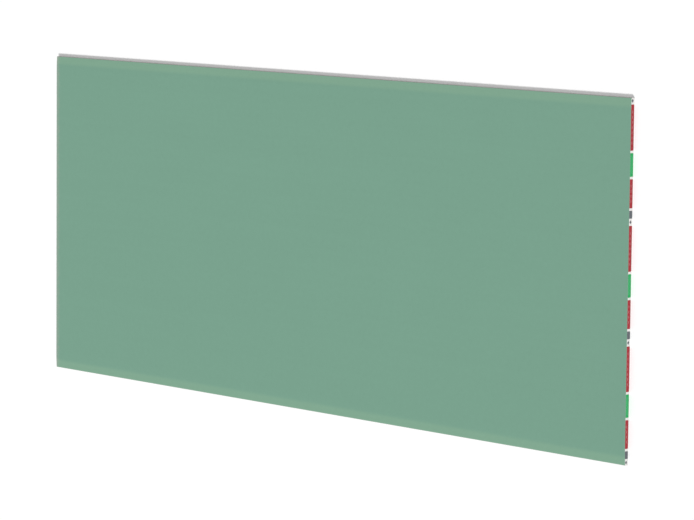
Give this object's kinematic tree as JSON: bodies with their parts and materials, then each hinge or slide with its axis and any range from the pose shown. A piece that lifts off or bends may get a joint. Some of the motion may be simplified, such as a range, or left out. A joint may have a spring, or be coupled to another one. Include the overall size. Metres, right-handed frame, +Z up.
{
  "type": "drywall sheet",
  "caption": "Flat rectangular drywall sheet with green moisture-resistant face paper, tapered long edges and a printed paper tape on one end, fixed to framing to line walls and ceilings.",
  "frame": {"origin": "centre of the board's back face, where the sheet lies on the floor", "axes": "+X along the length towards the taped end, +Y across the width, +Z up, out of the green face"},
  "size_m": [3.0503, 1.22, 0.0159],
  "materials": {
    "board_paper": "matt green face paper, bonded to a gypsum core, with grey paper on the long edges and back",
    "tape_paper": "printed paper tape with plain red, green, grey and white blocks"
  },
  "bodies": {
    "root": {"board": "board_paper", "end_tape": "tape_paper"}
  },
  "joints": []
}
